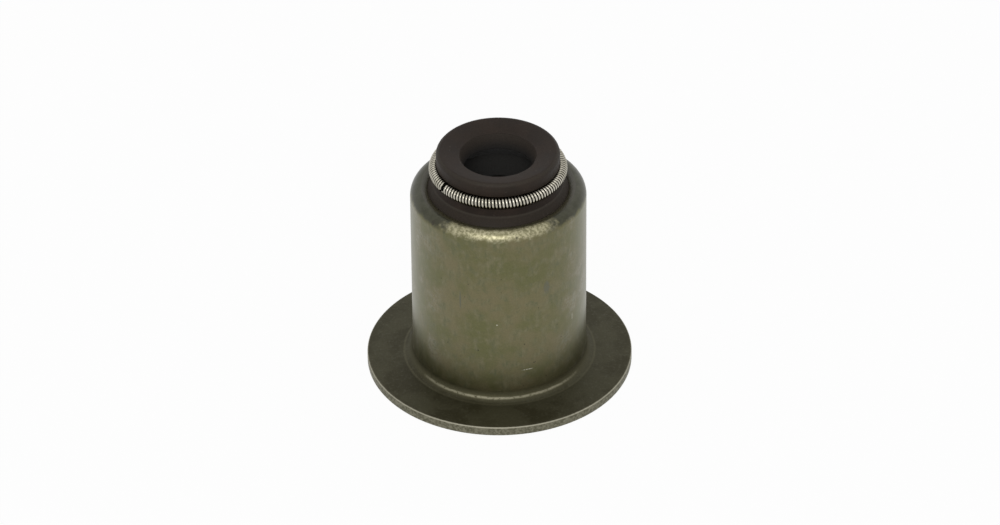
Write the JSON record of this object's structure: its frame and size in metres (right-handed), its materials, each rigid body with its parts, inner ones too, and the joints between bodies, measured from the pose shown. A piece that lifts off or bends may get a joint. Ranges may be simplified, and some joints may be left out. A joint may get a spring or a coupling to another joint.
{
  "type": "valve stem seal",
  "caption": "Flanged steel case lined with moulded rubber: a ribbed socket for the valve guide below and a sealing lip for the stem above, with a garter spring in its groove.",
  "frame": {"origin": "on the axis, at the underside of the flange", "axes": "+Z along the valve stem, from the flange towards the head with the sealing lip"},
  "size_m": [0.0264, 0.0264, 0.0249],
  "materials": {
    "case_steel": "satin, with an olive-brown surface treatment and light scuffs",
    "seal_rubber": "matte, dark brown, as moulded",
    "spring_steel": "bright drawn wire"
  },
  "bodies": {
    "root": {"case_shell": "case_steel", "seal_body": "seal_rubber", "garter_spring": "spring_steel"}
  },
  "joints": []
}
